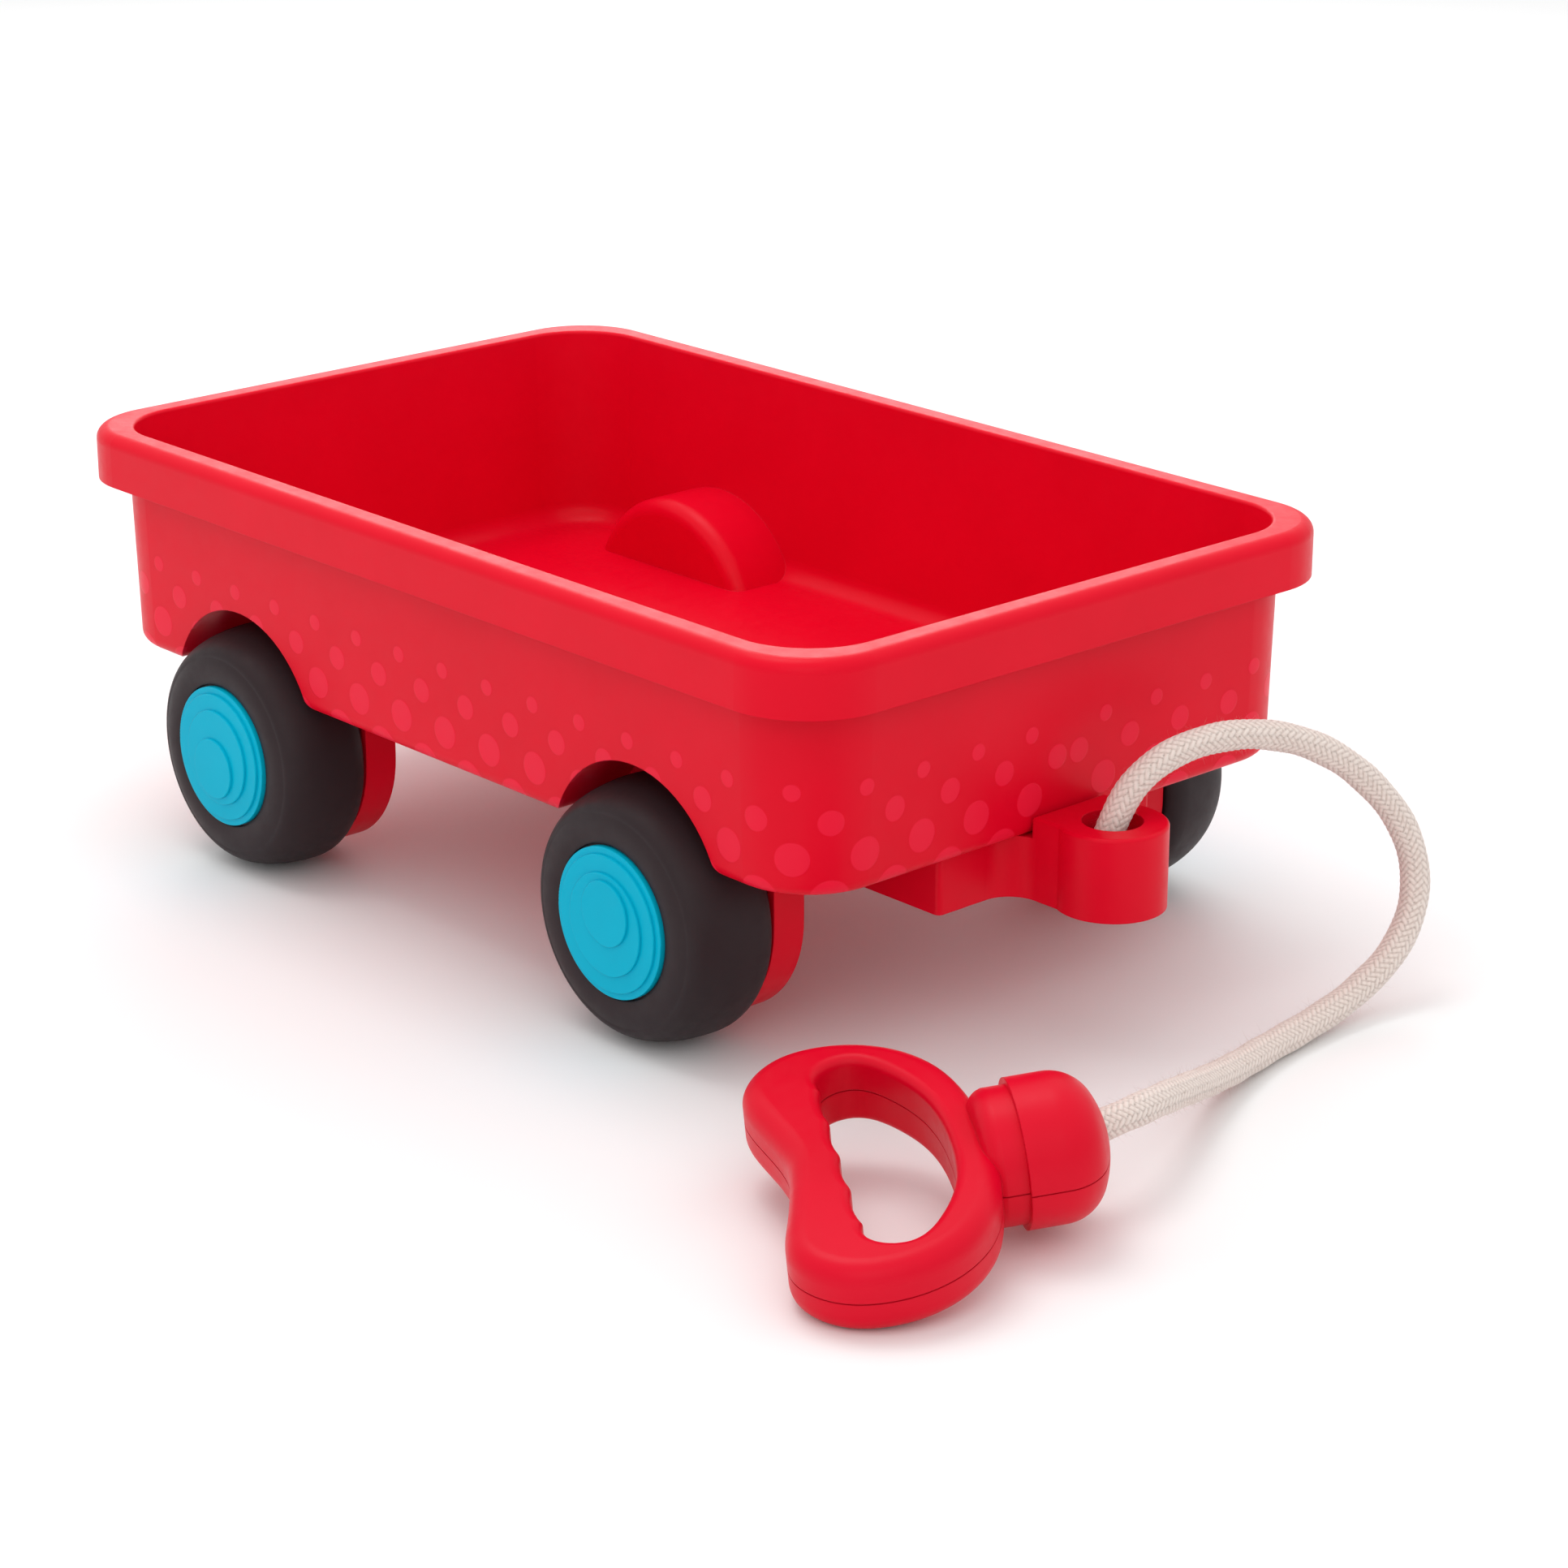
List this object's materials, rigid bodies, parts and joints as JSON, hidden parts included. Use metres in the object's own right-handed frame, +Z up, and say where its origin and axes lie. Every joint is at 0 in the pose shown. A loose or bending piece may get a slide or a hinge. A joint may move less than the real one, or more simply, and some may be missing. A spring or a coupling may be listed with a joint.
{
  "type": "pull wagon",
  "caption": "Small child's pull wagon: open moulded tub with a rolled rim, free-turning wheels with stepped hub caps, and a braided rope with a D-shaped grip.",
  "frame": {"origin": "centre of the cargo floor's top face, 71 mm above the ground", "axes": "+X to the front, where the tow hitch is; +Y to the left; +Z up"},
  "size_m": [0.5223, 0.3394, 0.1495],
  "materials": {
    "tub_plastic": "satin",
    "hitch_plastic": "satin",
    "carrier_plastic": "satin",
    "grip_plastic": "satin",
    "tyre_plastic": "satin",
    "core_plastic": "matte",
    "cap_plastic": "gloss",
    "rope": "braided",
    "steel": "plain"
  },
  "bodies": {
    "wagon": {"tub": "tub_plastic", "tow_hitch": "hitch_plastic", "hitch_screws": "steel", "axle_carrier_front": "carrier_plastic", "axle_carrier_rear": "carrier_plastic", "carrier_screws_front": "steel", "carrier_screws_rear": "steel", "axle_front": "steel", "axle_rear": "steel", "washers_front": "steel", "washers_rear": "steel", "push_nuts_front": "steel", "push_nuts_rear": "steel"},
    "wheel_front_left": {"tyre_front_left": "tyre_plastic", "wheel_core_front_left": "core_plastic", "hub_cap_front_left": "cap_plastic"},
    "wheel_front_right": {"tyre_front_right": "tyre_plastic", "wheel_core_front_right": "core_plastic", "hub_cap_front_right": "cap_plastic"},
    "wheel_rear_left": {"tyre_rear_left": "tyre_plastic", "wheel_core_rear_left": "core_plastic", "hub_cap_rear_left": "cap_plastic"},
    "wheel_rear_right": {"tyre_rear_right": "tyre_plastic", "wheel_core_rear_right": "core_plastic", "hub_cap_rear_right": "cap_plastic"},
    "rope_and_grip": {"pull_rope": "rope", "rope_knot_hitch": "rope", "rope_knot_grip": "rope", "grip_upper_shell": "grip_plastic", "grip_lower_shell": "grip_plastic", "grip_screws": "steel"}
  },
  "joints": [
    {"name": "wheel_front_left_spin", "type": "hinge", "parent": "wagon", "child": "wheel_front_left", "pos_m": [0.11, 0, -0.027], "axis": [0, 1, 0], "continuous": true},
    {"name": "wheel_front_right_spin", "type": "hinge", "parent": "wagon", "child": "wheel_front_right", "pos_m": [0.11, 0, -0.027], "axis": [0, 1, 0], "continuous": true},
    {"name": "wheel_rear_left_spin", "type": "hinge", "parent": "wagon", "child": "wheel_rear_left", "pos_m": [-0.107, 0, -0.027], "axis": [0, 1, 0], "continuous": true},
    {"name": "wheel_rear_right_spin", "type": "hinge", "parent": "wagon", "child": "wheel_rear_right", "pos_m": [-0.107, 0, -0.027], "axis": [0, 1, 0], "continuous": true},
    {"name": "rope_swivel", "type": "hinge", "parent": "wagon", "child": "rope_and_grip", "pos_m": [0.2109, 0, 0], "axis": [0, 0, 1], "range_deg": [-15, 15]}
  ]
}
